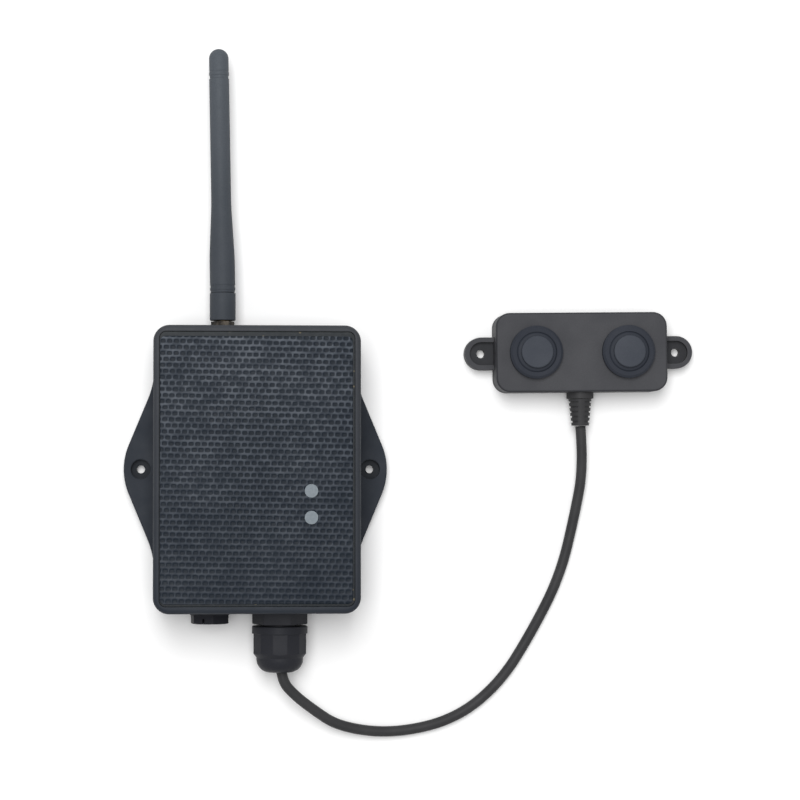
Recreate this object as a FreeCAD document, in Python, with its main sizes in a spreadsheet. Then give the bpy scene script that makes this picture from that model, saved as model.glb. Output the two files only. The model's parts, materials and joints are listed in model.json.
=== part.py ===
"""Solar-powered ultrasonic distance sensor: a radio case with a whip antenna, a vent plug and a
cable gland, and a two-transducer sensor head on a short flexible lead.

Frame: the sensor lies on its back. +X is the right of the case, +Y is up the case towards the
antenna, +Z points out of the solar panel. The origin is midway between the two wall holes, on the
back face of the case. Millimetres.
"""
import FreeCAD, Part
import Sketcher
import math
import os

V = FreeCAD.Vector
doc = FreeCAD.newDocument("distance_sensor")
sheet = doc.addObject("Spreadsheet::Sheet", "Sizes")

SIZES = {
    # case
    "case_width": 80.3, "case_length": 111.6, "case_corner": 6.3, "case_wall": 2.6,
    "rear_height": 24.0, "cover_height": 11.0, "back_round": 1.0, "bezel_round": 1.9, "seam_round": 0.35,
    "boss_radius": 4.2, "boss_across": 34.2, "boss_up": 49.8, "case_screw": 1.5,
    "ear_height": 6.0, "ear_apex": 54.3, "ear_foot": 34.1, "ear_tip_radius": 25.0,
    "ear_blend_radius": 34.0, "ear_hole": 1.6, "ear_counterbore": 3.9, "wall_hole_across": 91.0,
    "post_across": 28.0, "post_up": 40.0, "post_height": 3.0, "gasket_width": 1.1,
    # solar panel
    "recess_width": 75.7, "recess_length": 106.3, "recess_depth": 2.4, "recess_corner": 2.6,
    "panel_gap": 0.2, "adhesive_thick": 0.4, "solar_board_thick": 0.9, "cell_thick": 0.2,
    "film_thick": 0.4, "film_width": 74.4, "film_length": 103.4, "film_down": 0.45,
    "pipe_across": 20.9, "pipe_upper": -8.3, "pipe_lower": -18.6, "pipe_head": 2.6, "pipe_rod": 1.9,
    # main board
    "board_width": 64.0, "board_length": 90.0, "board_thick": 1.6,
    "cell_radius": 9.2, "cell_length": 65.0, "cell_across": -14.0,
    # connectors in the end walls
    "connector_height": 12.5, "antenna_across": -13.25, "gland_across": 9.4, "vent_across": -18.2,
    "jack_radius": 3.175, "collar_radius": 5.1, "collar_start": 2.9, "collar_length": 10.9,
    "whip_radius": 3.93, "whip_base_radius": 4.98, "whip_tip": 110.6, "whip_lean": 1.05,
    "gland_thread": 8.0, "gland_corner": 10.95, "gland_nut_radius": 10.6, "gland_hex_length": 5.1,
    "gland_nut_start": 5.8, "gland_nut_length": 18.25, "gland_neck": 6.8, "gland_mouth": 3.5,
    "gland_dome": 9.2, "gland_dome_round": 5.2,
    "vent_corner": 7.95, "vent_length": 4.8, "vent_spin": 21.0, "vent_thread": 6.0,
    # lead and sensor head
    "lead_radius": 2.05, "lead_start": 19.2, "head_across": 129.5, "head_up": 46.65, "head_turn": 0.6,
    "head_width": 68.6, "head_length": 31.6, "head_height": 14.5, "head_corner": 5.6,
    "head_wall": 2.0, "head_edge_round": 0.9, "head_ear_height": 6.0, "head_ear_radius": 6.5,
    "head_hole_across": 78.8, "head_hole": 1.7, "head_rim": 1.9, "transducer_across": 36.9,
    "transducer_collar": 10.5, "transducer_face": 6.35, "transducer_can": 8.0,
    "boot_height": 7.0, "boot_length": 13.3,
}

for row, (name, amount) in enumerate(SIZES.items(), start=1):
    sheet.set(f"A{row}", name)
    sheet.set(f"B{row}", str(amount))
    sheet.setAlias(f"B{row}", name)
doc.recompute()


class Size:
    """A length that knows its spreadsheet expression and its present value."""

    def __init__(self, text, value):
        self.text, self.value = text, value

    @staticmethod
    def of(other):
        return other if isinstance(other, Size) else Size(str(other), float(other))

    def join(self, sign, other, value):
        return Size(f"({self.text} {sign} {other.text})", value)

    def __add__(self, other):
        other = Size.of(other)
        return self.join("+", other, self.value + other.value)

    def __sub__(self, other):
        other = Size.of(other)
        return self.join("-", other, self.value - other.value)

    def __mul__(self, other):
        other = Size.of(other)
        return self.join("*", other, self.value * other.value)

    def __truediv__(self, other):
        other = Size.of(other)
        return self.join("/", other, self.value / other.value)

    def __neg__(self):
        return Size.of(0) - self

    def __radd__(self, other):
        return Size.of(other) + self

    def __rsub__(self, other):
        return Size.of(other) - self

    def __rmul__(self, other):
        return Size.of(other) * self


class Sizes:
    """The spreadsheet's cells by alias, as Size objects."""

    def __getattr__(self, name):
        return Size(f"Sizes.{name}", float(sheet.get(name)))


s = Sizes()
TURNS = {  # rotation that lays a feature's own +Z along the named direction
    "+z": FreeCAD.Rotation(),
    "-z": FreeCAD.Rotation(V(1, 0, 0), 180),
    "+y": FreeCAD.Rotation(V(1, 0, 0), -90),
    "-y": FreeCAD.Rotation(V(1, 0, 0), 90),
}


def bind(item, prop, amount):
    item.setExpression(prop, Size.of(amount).text)


def place(item, at, along="+z", spin=0.0):
    """Put item's origin at a point, its own Z along a direction, spun about that direction."""
    turn = TURNS[along].multiply(FreeCAD.Rotation(V(0, 0, 1), spin))
    item.Placement = FreeCAD.Placement(V(*[Size.of(c).value for c in at]), turn)
    for letter, amount in zip("xyz", at):
        bind(item, f"Placement.Base.{letter}", amount)
    return item


def box(name, size, at):
    """A block centred on at in X and Y, with its underside at at's Z."""
    item = doc.addObject("Part::Box", name)
    for prop, amount in zip(("Length", "Width", "Height"), size):
        bind(item, prop, amount)
    return place(item, (at[0] - Size.of(size[0]) / 2, at[1] - Size.of(size[1]) / 2, at[2]))


def cylinder(name, radius, height, at, along="+z"):
    item = doc.addObject("Part::Cylinder", name)
    bind(item, "Radius", radius)
    bind(item, "Height", height)
    return place(item, at, along)


def prism(name, sides, corner_radius, height, at, along="+z", spin=0.0):
    item = doc.addObject("Part::Prism", name)
    item.Polygon = sides
    bind(item, "Circumradius", corner_radius)
    bind(item, "Height", height)
    return place(item, at, along, spin)


def fuse(name, *items):
    item = doc.addObject("Part::MultiFuse", name)
    item.Shapes = list(items)
    return item


def cut(name, base, *tools):
    item = doc.addObject("Part::Cut", name)
    item.Base = base
    item.Tool = tools[0] if len(tools) == 1 else fuse(name + "_tools", *tools)
    return item


def common(name, *items):
    item = doc.addObject("Part::MultiCommon", name)
    item.Shapes = list(items)
    return item


def group(name, items):
    """Separate solids that share one node."""
    item = doc.addObject("Part::Compound", name)
    item.Links = list(items)
    return item


def slot_across(name, size, at, along, spin):
    """A block centred on a fitting's axis and turned about it, to cut a slot across the fitting."""
    return place(group(name, [box(name + "_block", size, (0, 0, 0))]), at, along, spin)


def ring(name, outer, inner, height, at, along="+z"):
    return cut(name, cylinder(name + "_outer", outer, height, at, along),
               cylinder(name + "_bore", inner, height, at, along))


def origin_plane(body, role):
    return next(o for o in body.Origin.OriginFeatures if o.Role == role)


def polygon_sketch(body, role, points):
    """A closed outline of straight lines whose every corner is bound to the spreadsheet."""
    sketch = body.newObject("Sketcher::SketchObject", body.Name + "_sketch")
    sketch.AttachmentSupport = [(origin_plane(body, role), "")]
    sketch.MapMode = "FlatFace"
    points = [(Size.of(a), Size.of(b)) for a, b in points]
    corners = [V(a.value, b.value, 0) for a, b in points]
    for n, corner in enumerate(corners):
        sketch.addGeometry(Part.LineSegment(corner, corners[(n + 1) % len(corners)]), False)
    for n in range(len(corners)):
        sketch.addConstraint(Sketcher.Constraint("Coincident", n, 2, (n + 1) % len(corners), 1))
    for n, pair in enumerate(points):
        for kind, amount in zip(("DistanceX", "DistanceY"), pair):
            made = sketch.addConstraint(Sketcher.Constraint(kind, -1, 1, n, 1, amount.value))
            sketch.setExpression(f"Constraints[{made}]", amount.text)
    return sketch


def round_off(body, amount, wanted):
    """Fillet the body's tip on each edge that wanted() picks."""
    doc.recompute()
    base = body.Tip
    edges = [f"Edge{n}" for n, edge in enumerate(base.Shape.Edges, start=1) if wanted(edge)]
    fillet = body.newObject("PartDesign::Fillet", body.Name + "_round")
    fillet.Base = (base, edges)
    bind(fillet, "Radius", amount)
    return body


def level(edge, height):
    box_of = edge.BoundBox
    return abs(box_of.ZMin - height) < 0.001 and abs(box_of.ZMax - height) < 0.001


def upright(edge, height):
    return abs(edge.BoundBox.ZLength - height) < 0.001 and edge.BoundBox.DiagonalLength < height + 0.001


def plate(name, width, length, corner, height, at, top_round=None, bottom_round=None):
    """A slab with rounded corners, centred on at, with its underside at at's Z."""
    body = doc.addObject("PartDesign::Body", name)
    w, d = Size.of(width) / 2, Size.of(length) / 2
    sketch = polygon_sketch(body, "XY_Plane", [(-w, -d), (w, -d), (w, d), (-w, d)])
    pad = body.newObject("PartDesign::Pad", name + "_pad")
    pad.Profile = sketch
    bind(pad, "Length", height)
    tall = Size.of(height).value
    round_off(body, corner, lambda edge: upright(edge, tall))
    if top_round is not None:
        round_off(body, top_round, lambda edge: level(edge, tall))
    if bottom_round is not None:
        round_off(body, bottom_round, lambda edge: level(edge, 0))
    return place(body, at)


def turned(name, outline, at, along="+z", rounds=()):
    """A solid of revolution: outline is (radius, height) corners; rounds are
    (radius, height, fillet) for the circular edges that are rounded over."""
    body = doc.addObject("PartDesign::Body", name)
    sketch = polygon_sketch(body, "XZ_Plane", outline)
    spin = body.newObject("PartDesign::Revolution", name + "_turning")
    spin.Profile = sketch
    spin.ReferenceAxis = (sketch, ["V_Axis"])
    spin.Angle = 360
    for radius, height, fillet in rounds:
        r, z = Size.of(radius).value, Size.of(height).value
        round_off(body, fillet, lambda e: level(e, z) and abs(e.BoundBox.XMax - r) < 0.001)
    return place(body, at, along)


def route_wire(points):
    """Straight runs joined by tangent arcs, each as large as its two runs allow, and the radii."""
    points = [V(*p) for p in points]
    edges, radii, start = [], [], points[0]
    for before, corner, after in zip(points, points[1:], points[2:]):
        run = min((corner - before).Length, (after - corner).Length)
        back, on = (before - corner).normalize(), (after - corner).normalize()
        half_turn = (math.pi - back.getAngle(on)) / 2
        reach = 0.45 * run
        radius = reach / math.tan(half_turn)
        first, last = corner + back * reach, corner + on * reach
        centre = corner + (back + on).normalize() * (radius / math.cos(half_turn))
        middle = centre + (corner - centre).normalize() * radius
        edges += [Part.LineSegment(start, first).toShape(), Part.Arc(first, middle, last).toShape()]
        radii.append(radius)
        start = last
    edges.append(Part.LineSegment(start, points[-1]).toShape())
    return Part.Wire(edges), radii


def tube_solid(points, radius):
    wire, radii = route_wire(points)
    first = wire.Edges[0]
    disc = Part.Wire(Part.makeCircle(radius, V(*points[0]), first.tangentAt(first.FirstParameter)))
    solid = wire.makePipeShell([disc], True, False)
    return solid, wire.Length, radii


def tube(name, points, radius):
    item = doc.addObject("Part::Feature", name)
    item.Shape = tube_solid(points, radius)[0]
    return item


def tubes(name, routes, radius):
    item = doc.addObject("Part::Feature", name)
    item.Shape = Part.makeCompound([tube_solid(route, radius)[0] for route in routes])
    return item


sub_parts = []


def sub_part(item):
    item.Label = item.Name
    sub_parts.append(item)
    return item


CORNERS = [(-1, -1), (1, -1), (1, 1), (-1, 1)]
half_length = s.case_length / 2
inner_width = s.case_width - 2 * s.case_wall
inner_length = s.case_length - 2 * s.case_wall
inner_corner = s.case_corner - s.case_wall
post_top = s.case_wall + s.post_height
board_top = post_top + s.board_thick
deck_top = s.rear_height + s.cover_height - s.recess_depth
deck_under = deck_top - 1.6
film_top = deck_top + s.adhesive_thick + s.solar_board_thick + s.cell_thick + s.film_thick


# ---------------------------------------------------------------- case shells
def rear_block():
    """The rear case before it is hollowed: the ears' slab, then the case's block, rounded."""
    body = doc.addObject("PartDesign::Body", "rear_block")
    half, far = s.case_width / 2, s.case_length / 2 - 10
    quarter = [(s.ear_apex, 0), (half, s.ear_foot), (half, far)]
    outline = quarter + [(-x, y) for x, y in reversed(quarter)]
    outline += [(-half, -s.ear_foot), (-half, -far), (half, -far), (half, -s.ear_foot)]
    pad = body.newObject("PartDesign::Pad", "ears_pad")
    pad.Profile = polygon_sketch(body, "XY_Plane", outline)
    bind(pad, "Length", s.ear_height)
    tall, apex, foot = s.ear_height.value, s.ear_apex.value, s.ear_foot.value
    round_off(body, s.ear_tip_radius, lambda e: upright(e, tall) and abs(e.BoundBox.XMin) > apex - 1)
    round_off(body, s.ear_blend_radius,
              lambda e: upright(e, tall) and abs(abs(e.BoundBox.YMin) - foot) < 0.1)
    end = s.case_length / 2
    block = body.newObject("PartDesign::Pad", "case_pad")
    block.Profile = polygon_sketch(body, "XY_Plane", [(-half, -end), (half, -end), (half, end), (-half, end)])
    bind(block, "Length", s.rear_height)
    high = s.rear_height.value
    round_off(body, s.case_corner, lambda e: upright(e, high))
    round_off(body, s.seam_round, lambda e: level(e, high))
    return round_off(body, s.back_round, lambda e: abs(e.BoundBox.ZMax) < 0.001)


def rear_case():
    block = rear_block()
    cavity = plate("rear_cavity", inner_width, inner_length, inner_corner, s.rear_height,
                   (0, 0, s.case_wall))
    holes = []
    bosses, posts = [], []
    for n, (i, j) in enumerate(CORNERS):
        at = (i * s.boss_across, j * s.boss_up)
        bosses.append(cylinder(f"rear_boss_{n}", s.boss_radius, s.rear_height - s.case_wall,
                               (*at, s.case_wall)))
        holes.append(cylinder(f"rear_screw_hole_{n}", s.case_screw + 0.1, s.rear_height, (*at, 0)))
        holes.append(cylinder(f"rear_screw_head_{n}", 3.1, 3.4, (*at, 0)))
        at = (i * s.post_across, j * s.post_up)
        posts.append(cylinder(f"board_post_{n}", 2.6, s.post_height, (*at, s.case_wall)))
        holes.append(cylinder(f"post_hole_{n}", 1.1, s.post_height + 0.6, (*at, s.case_wall - 0.6)))
    for side in (-1, 1):
        across = side * s.wall_hole_across / 2
        holes.append(cylinder(f"ear_hole_{side + 1}", s.ear_hole, s.ear_height, (across, 0, 0)))
        holes.append(cylinder(f"ear_sink_{side + 1}", s.ear_counterbore, 2.5,
                              (across, 0, s.ear_height - 2.5)))
    high = s.connector_height
    holes.append(cylinder("jack_hole", s.jack_radius + 0.05, s.case_wall,
                          (s.antenna_across, half_length - s.case_wall, high), "+y"))
    holes.append(cylinder("gland_hole", s.gland_thread + 0.05, s.case_wall,
                          (s.gland_across, s.case_wall - half_length, high), "-y"))
    holes.append(cylinder("vent_hole", s.vent_thread + 0.05, s.case_wall,
                          (s.vent_across, s.case_wall - half_length, high), "-y"))
    holes.append(gasket_ring("gasket_groove"))
    hollow = cut("rear_hollow", block, cavity)
    with_bosses = fuse("rear_filled", hollow, *bosses, *posts)
    return cut("rear_case", with_bosses, *holes)


def gasket_ring(name):
    """The seal's square section, running in the middle of the rear case's rim."""
    outer = plate(name + "_outer", s.case_width - s.gasket_width - 0.4,
                  s.case_length - s.gasket_width - 0.4, s.case_corner - s.gasket_width / 2, 1.2,
                  (0, 0, s.rear_height - 1.2))
    inner = plate(name + "_inner", s.case_width - 3 * s.gasket_width - 0.4,
                  s.case_length - 3 * s.gasket_width - 0.4, s.case_corner - 3 * s.gasket_width / 2,
                  1.2, (0, 0, s.rear_height - 1.2))
    return cut(name, outer, inner)


def front_cover():
    shell = plate("cover_shell", s.case_width, s.case_length, s.case_corner, s.cover_height,
                  (0, 0, s.rear_height), top_round=s.bezel_round, bottom_round=s.seam_round)
    cavity = plate("cover_cavity", inner_width, inner_length, inner_corner,
                   deck_under - s.rear_height, (0, 0, s.rear_height))
    recess = plate("panel_recess", s.recess_width, s.recess_length, s.recess_corner,
                   s.recess_depth, (0, 0.2, deck_top))
    bosses, holes = [], [recess]
    for n, (i, j) in enumerate(CORNERS):
        at = (i * s.boss_across, j * s.boss_up, s.rear_height)
        bosses.append(cylinder(f"cover_boss_{n}", s.boss_radius, deck_under - s.rear_height, at))
        holes.append(cylinder(f"cover_pilot_{n}", s.case_screw, 6.5, at))
    for n, up in enumerate((s.pipe_upper, s.pipe_lower)):
        holes.append(cylinder(f"pipe_way_{n}", s.pipe_rod + 0.05, 4, (s.pipe_across, up, deck_under - 1)))
    holes.append(cylinder("wire_way", 2.5, 4, (s.pipe_across, 10, deck_under - 1)))
    hollow = cut("cover_hollow", shell, cavity)
    filled = fuse("cover_filled", hollow, *bosses)
    return cut("front_cover", filled, *holes)


def screw(name, shank, length, head, head_height, at):
    """A pan-head screw whose head bears at at and whose shank runs up +Z."""
    blank = turned(name, [(0, -head_height), (head, -head_height), (head, 0), (shank, 0),
                          (shank, length), (0, length)], at)
    top = at[2] - head_height
    slot = box(name + "_slot", (2 * head, 0.7, 0.8), (at[0], at[1], top))
    cross = box(name + "_cross", (0.7, 2 * head, 0.8), (at[0], at[1], top))
    return cut(name + "_cut", blank, slot, cross)


# ---------------------------------------------------------------- solar panel
def solar_panel():
    width, length = s.recess_width - 2 * s.panel_gap, s.recess_length - 2 * s.panel_gap
    middle = 0.2
    corner = s.recess_corner - s.panel_gap
    pipes = [(s.pipe_across, s.pipe_upper), (s.pipe_across, s.pipe_lower)]

    def windows(name, low, high, radius, extra=()):
        return [cylinder(f"{name}_{n}", radius, high, (*at, low)) for n, at in enumerate(pipes)] + list(extra)

    way = cylinder("adhesive_wire_way", 2.5, 1, (s.pipe_across, 10, deck_top))
    sheet_body = plate("adhesive_sheet", width, length, corner, s.adhesive_thick, (0, middle, deck_top))
    sub_part(cut("panel_adhesive", sheet_body, *windows("adhesive_window", deck_top, 1, s.pipe_rod + 0.05),
                 way))
    low = deck_top + s.adhesive_thick
    board = plate("solar_board_sheet", width, length, corner, s.solar_board_thick, (0, middle, low))
    sub_part(cut("solar_board", board, *windows("solar_board_window", low, 1, s.pipe_rod + 0.05)))
    low = low + s.solar_board_thick
    film_at = middle - s.film_down
    columns, rows = 6, 2
    pitch = (s.film_width - 3) / columns
    tall = (s.film_length - 4) / rows
    cells = []
    for column in range(columns):
        for row in range(rows):
            across = pitch * (column - (columns - 1) / 2)
            up = film_at + tall * (row - (rows - 1) / 2)
            cells.append(box(f"cell_{column}_{row}", (pitch - 0.8, tall - 0.8, s.cell_thick),
                             (across, up, low)))
    holes = windows("cell_window", low, s.cell_thick, s.pipe_head + 0.3)
    sub_part(cut("solar_cells", group("cell_strips", cells), *holes))
    thick = s.cell_thick + s.film_thick
    film = plate("film_sheet", s.film_width, s.film_length, 2.0, thick, (-0.3, film_at, low))
    sub_part(cut("panel_film", film, group("cell_pockets", cells),
                 *windows("film_window", low, thick, s.pipe_head + 0.02)))
    guides = []
    for n, at in enumerate(pipes):
        foot, top = board_top + 1.2, film_top + 0.1
        guides.append(turned(f"indicator_pipe_{n}", [
            (0, 0), (s.pipe_rod, 0), (s.pipe_rod, low - foot), (s.pipe_head, low - foot),
            (s.pipe_head, top - foot), (0, top - foot)], (*at, foot)))
    sub_part(group("indicator_pipes", guides))


# ---------------------------------------------------------------- electronics
def electronics():
    board = plate("main_board_blank", s.board_width, s.board_length, 1.5, s.board_thick, (0, 0, post_top))
    holes = [cylinder(f"board_hole_{n}", 1.3, s.board_thick, (i * s.post_across, j * s.post_up, post_top))
             for n, (i, j) in enumerate(CORNERS)]
    sub_part(cut("main_board", board, *holes))
    screws = []
    for n, (i, j) in enumerate(CORNERS):
        at = (i * s.post_across, j * s.post_up, board_top)
        screws.append(turned(f"board_screw_{n}", [(0, 1.6), (2.2, 1.6), (2.2, 0), (1.1, 0), (1.1, -5),
                                                  (0, -5)], at))
    sub_part(group("board_screws", screws))

    reach = s.cell_length + 8
    cradle = box("holder_block", (2 * s.cell_radius + 2.6, reach, 12), (s.cell_across, 0, board_top))
    lift = board_top + 1.2 + s.cell_radius
    trough = cylinder("holder_trough", s.cell_radius + 0.3, reach - 3,
                      (s.cell_across, (3 - reach) / 2, lift), "+y")
    above = box("holder_mouth", (2 * s.cell_radius + 0.6, reach - 3, 12), (s.cell_across, 0, lift))
    sub_part(cut("battery_holder", cradle, trough, above))
    can = turned("battery_can", [(0, 0), (s.cell_radius, 0), (s.cell_radius, s.cell_length - 1),
                                 (3, s.cell_length - 1), (3, s.cell_length), (0, s.cell_length)],
                 (s.cell_across, -s.cell_length / 2, lift), "+y")
    sub_part(can).Label = "battery_cell"
    contacts = []
    for n, side in enumerate((-1, 1)):
        gap = (reach - 3 - s.cell_length) / 2
        leaf = box(f"contact_leaf_{n}", (9, 0.4, 9), (s.cell_across, side * ((reach - 3) / 2 - 0.2),
                                                      board_top + 6))
        dome = cylinder(f"contact_dome_{n}", 2.6, gap - 0.4,
                        (s.cell_across, side * ((reach - 3) / 2 - 0.4), lift), "+y" if side < 0 else "-y")
        contacts.append(fuse(f"contact_{n}", leaf, dome))
    sub_part(group("battery_contacts", contacts))

    module = plate("radio_module", 18, 22, 0.6, 0.8, (16.5, 27, board_top))
    sub_part(module)
    lid = box("shield_block", (14, 17, 2.4), (18, 28.5, board_top + 0.8))
    room = box("shield_room", (13.2, 16.2, 2.0), (18, 28.5, board_top + 0.8))
    sub_part(cut("radio_shield", lid, room))
    chips = [box("controller_chip", (7, 7, 1), (6, 4, board_top)),
             box("memory_chip", (5, 4, 1), (6, 14, board_top)),
             box("charger_chip", (4, 4, 1), (24, 8, board_top)),
             box("choke", (6, 6, 3), (14, 2, board_top)),
             cylinder("reservoir", 4, 10, (26, -31, board_top)),
             box("solar_socket", (6, 5, 5), (27, 2, board_top))]
    chips += [box(f"led_{n}", (3, 2, 0.9), (s.pipe_across, up, board_top))
              for n, up in enumerate((s.pipe_upper, s.pipe_lower))]
    base = box("button_block", (6, 6, 3.2), (4, -14, board_top))
    chips.append(cut("button_housing", base, cylinder("button_way", 1.8, 2.4, (4, -14, board_top + 0.8))))
    sub_part(group("board_components", chips))
    sub_part(cylinder("power_button", 1.75, 3.4, (4, -14, board_top + 1.3)))

    block_y = -31
    block = box("terminal_body", (15, 9, 9), (9.4, block_y, board_top))
    ways, screws, routes = [], [], []
    for n in range(4):
        across = s.gland_across + 3.5 * (n - 1.5)
        ways.append(cylinder(f"terminal_way_{n}", 1.0, 6, (across, block_y - 4.5, board_top + 3), "+y"))
        ways.append(cylinder(f"terminal_shaft_{n}", 1.3, 4, (across, block_y, board_top + 5)))
        screws.append(cylinder(f"terminal_screw_{n}", 1.25, 2.4, (across, block_y, board_top + 5.2)))
        x, spread = across.value, 0.8 * (n - 1.5)
        start = s.gland_across.value + spread
        high, low = s.connector_height.value, board_top.value + 3
        routes.append([(start, -45.9, high), (start, -43, high), (x, -38.5, low), (x, -33, low)])
    sub_part(group("terminal_block", [cut("terminal_body_cut", block, *ways), *screws]))
    sub_part(tubes("lead_cores", routes, 0.38))

    sub_part(box("solar_plug", (5.4, 4.4, 5), (27, 2, board_top + 5)))
    plug_top = board_top.value + 10
    ups = [(27 + n, 2.0, plug_top) for n in (-1, 1)]
    routes = [[up, (up[0], 2.0, plug_top + 3), (20.9 + k, 8.5, deck_under.value - 3),
               (20.9 + k, 10.0, deck_top.value + 0.25)] for up, k in zip(ups, (-0.8, 0.8))]
    sub_part(tubes("solar_wires", routes, 0.5))


# ---------------------------------------------------------------- antenna and its socket
def antenna():
    wall, high, across = half_length, s.connector_height, s.antenna_across

    def out(distance):
        return (across, wall + distance, high)

    inside = -s.case_wall
    body = turned("jack_blank", [(0, inside - 7), (2.6, inside - 7), (2.6, inside - 2.6), (4.6, inside - 2.6),
                                 (4.6, inside - 0.6), (s.jack_radius, inside - 0.6), (s.jack_radius, 9.5),
                                 (0, 9.5)], out(0), "+y")
    bore = cylinder("jack_bore", 2.05, 17.1, out(inside - 5), "+y")
    sub_part(cut("antenna_jack", body, bore))
    core = cylinder("jack_core", 2.05, 13, out(inside - 5), "+y")
    sub_part(cut("jack_insulator", core, cylinder("jack_core_bore", 0.64, 13, out(inside - 5), "+y")))
    pin = cylinder("jack_socket", 0.64, 13, out(inside - 5), "+y")
    sub_part(cut("jack_contact", pin, cylinder("jack_socket_bore", 0.5, 4, out(inside + 4), "+y")))
    sub_part(ring("jack_seal", 4.6, s.jack_radius, 0.6, out(inside - 0.6), "+y"))
    sub_part(ring("jack_washer", 5.0, s.jack_radius, 0.5, out(0), "+y"))
    nut = prism("jack_nut_blank", 6, 4.62, 2.0, out(0.5), "+y")
    sub_part(cut("jack_nut", nut, cylinder("jack_nut_bore", s.jack_radius, 2.0, out(0.5), "+y")))

    start, end = s.collar_start, s.collar_start + s.collar_length
    sub_part(turned("coupling_nut", [(s.jack_radius + 0.05, start + 0.3), (4.2, start + 0.3), (4.2, 10.2),
                                     (s.jack_radius + 0.05, 10.2)], out(0), "+y"))
    sub_part(turned("antenna_collar", [(4.2, start), (s.collar_radius, start), (s.collar_radius, end),
                                       (2.68, end), (2.68, end - 2.2), (4.2, end - 2.2)], out(0), "+y",
                    rounds=[(s.collar_radius, start, 0.4), (s.collar_radius, end, 0.3)]))
    snug = s.jack_radius - 0.03
    sub_part(turned("antenna_ferrule", [(0.7, 9.7), (snug, 9.7), (snug, 10.35), (3.9, 10.35), (3.9, 11.3),
                                        (2.6, 11.3), (2.6, 22), (0.7, 22)], out(0), "+y"))
    sub_part(cylinder("antenna_pin", 0.45, 20, out(2.5), "+y"))

    foot, lean = end + 0.2, s.whip_lean.value
    base = turned("sheath_turning", [
        (2.9, 0), (4.8, 0), (4.8, 0.9), (5.02, 0.9), (5.02, 1.9), (4.8, 1.9), (4.8, 2.9),
        (s.whip_base_radius, 2.9), (s.whip_base_radius, 12.5), (4.86, 16.4), (4.46, 24.3), (4.06, 32.2),
        (s.whip_radius, 36.5),
        (s.whip_radius, s.whip_tip - foot - 12), (s.whip_radius - 0.25, s.whip_tip - foot - 11.8),
        (s.whip_radius - 0.25, s.whip_tip - foot - 11.2), (1.2, s.whip_tip - foot - 11.2), (1.2, 8.2),
        (2.9, 8.2)], (0, 0, 0))
    tip_start = s.whip_tip - foot - 11.2
    cap = turned("tip_turning", [(0, tip_start - 4), (1.2, tip_start - 4), (1.2, tip_start),
                                 (s.whip_radius - 0.25, tip_start), (s.whip_radius - 0.25, tip_start + 0.4),
                                 (s.whip_radius, tip_start + 0.8), (s.whip_radius, tip_start + 1.8),
                                 (s.whip_radius - 0.2, tip_start + 2.1),
                                 (s.whip_radius - 0.07, tip_start + 2.6),
                                 (s.whip_radius - 0.07, s.whip_tip - foot - s.whip_radius + 0.07),
                                 (0, s.whip_tip - foot - s.whip_radius + 0.07)], (0, 0, 0))
    dome = doc.addObject("Part::Sphere", "tip_dome")
    bind(dome, "Radius", s.whip_radius - 0.07)
    place(dome, (0, 0, s.whip_tip - foot - s.whip_radius + 0.07))
    radiator = cylinder("radiator_rod", 1.2, 68, (0, 0, 9))
    for name, item in (("antenna_sheath", base), ("antenna_tip_cap", fuse("tip_solid", cap, dome)),
                       ("antenna_radiator", radiator)):
        leaning = doc.addObject("Part::Compound", name)
        leaning.Links = [item]
        place(leaning, out(foot), "+y")
        leaning.Placement.Rotation = FreeCAD.Rotation(V(0, 0, 1), lean).multiply(TURNS["+y"])
        sub_part(leaning)

    top = board_top.value + 0.8
    route = [(across.value, wall.value - s.case_wall.value - 7, high.value),
             (across.value, 43.5, high.value + 0.1), (-6, 41.5, high.value - 1), (3, 38, top + 3),
             (8.6, 31, top + 1.6), (8.6, 24.5, top + 1.5)]
    sub_part(tube("antenna_pigtail", route, 0.55))


# ---------------------------------------------------------------- vent plug and cable gland
def vent():
    wall, high, across = half_length, s.connector_height, s.vent_across

    def out(distance):
        return (across, -wall - distance, high)

    head = common("vent_head", prism("vent_hex", 6, s.vent_corner, s.vent_length - 1.4, out(1.4), "-y",
                                     spin=s.vent_spin.value),
                  turned("vent_crown", [(0, 1.4), (8.2, 1.4), (8.2, s.vent_length), (0, s.vent_length)],
                         out(0), "-y", rounds=[(8.2, s.vent_length, 1.2)]))
    flange = cylinder("vent_flange", s.vent_corner - 0.25, 1.4, out(0), "-y")
    thread = cylinder("vent_screw", s.vent_thread, 9, out(-9), "-y")
    # The bore runs up into the crossed slots under the cap, so air passes the membrane.
    bores = [cylinder("vent_bore", 3.4, 11.8, out(-9), "-y"),
             ring("vent_seal_groove", 7.1, s.vent_thread, 1.0, out(0), "-y")]
    ways = [slot_across(f"vent_slot_{n}", (2 * s.vent_corner, 0.9, 1.6), out(2.6), "-y",
                        s.vent_spin.value + 90 * n) for n in range(2)]
    blank = fuse("vent_blank", head, flange, thread)
    sub_part(cut("vent_plug", blank, *bores, *ways))
    sub_part(cylinder("vent_membrane", 3.4, 0.3, out(1.2), "-y"))
    sub_part(ring("vent_seal", 7.1, s.vent_thread, 1.0, out(0), "-y"))
    inside = out(-s.case_wall - 3)
    nut = prism("vent_nut_blank", 6, 8.6, 3, inside, "-y")
    sub_part(cut("vent_locknut", nut, cylinder("vent_nut_bore", s.vent_thread, 3, inside, "-y")))


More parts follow.
